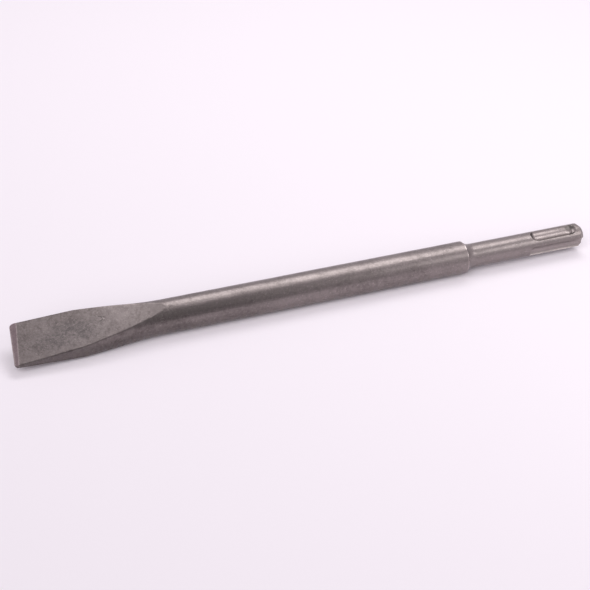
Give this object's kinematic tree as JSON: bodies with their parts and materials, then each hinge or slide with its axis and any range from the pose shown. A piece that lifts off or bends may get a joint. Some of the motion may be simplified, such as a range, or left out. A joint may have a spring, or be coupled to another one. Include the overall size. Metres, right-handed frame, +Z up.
{
  "type": "flat chisel bit",
  "caption": "Flat steel chisel bit: wedge blade, round body, stepped 10 mm shank with slots for a hammer drill.",
  "frame": {"origin": "on the floor under the middle of the length, below the axis of the round body", "axes": "+X along the axis, from the cutting edge to the rear end of the shank; +Z up from the floor it lies on; the blade's width lies 18 degrees from the Y axis, its -Y edge lower"},
  "size_m": [0.25, 0.0193, 0.0137],
  "materials": {
    "steel": "blasted satin, bead-blasted forged steel"
  },
  "bodies": {
    "root": {"chisel_bit": "steel"}
  },
  "joints": []
}
